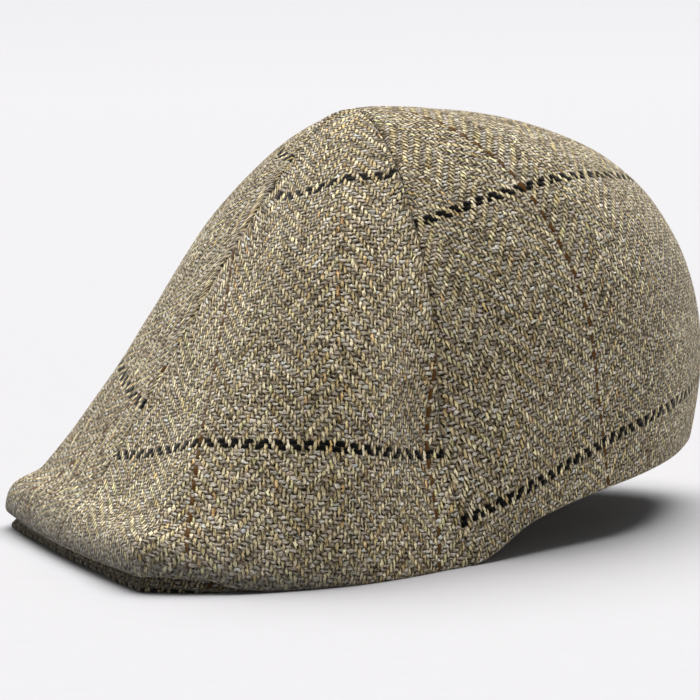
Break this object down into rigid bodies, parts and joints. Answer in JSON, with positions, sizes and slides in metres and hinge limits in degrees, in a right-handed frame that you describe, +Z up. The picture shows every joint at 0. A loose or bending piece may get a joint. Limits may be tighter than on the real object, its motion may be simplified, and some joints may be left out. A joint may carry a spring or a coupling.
{
  "type": "flat cap",
  "caption": "Duckbill flat cap of wool tweed: panels meet at an apex and run down over a stiff peak; the hollow below is open for the head.",
  "frame": {"origin": "centre of the bounding box in plan, on the surface that the cap rests on", "axes": "+Z up, the peak toward -Y, the wearer's left toward +X"},
  "size_m": [0.2042, 0.2786, 0.1642],
  "materials": {
    "tweed": "wool herringbone tweed, matt and slightly fuzzy",
    "under_cloth": "dark matt cloth over a stiff board"
  },
  "bodies": {
    "root": {"front_panel_left": "tweed", "front_panel_right": "tweed", "rear_panel_left": "tweed", "rear_panel_right": "tweed", "peak": "under_cloth"}
  },
  "joints": []
}
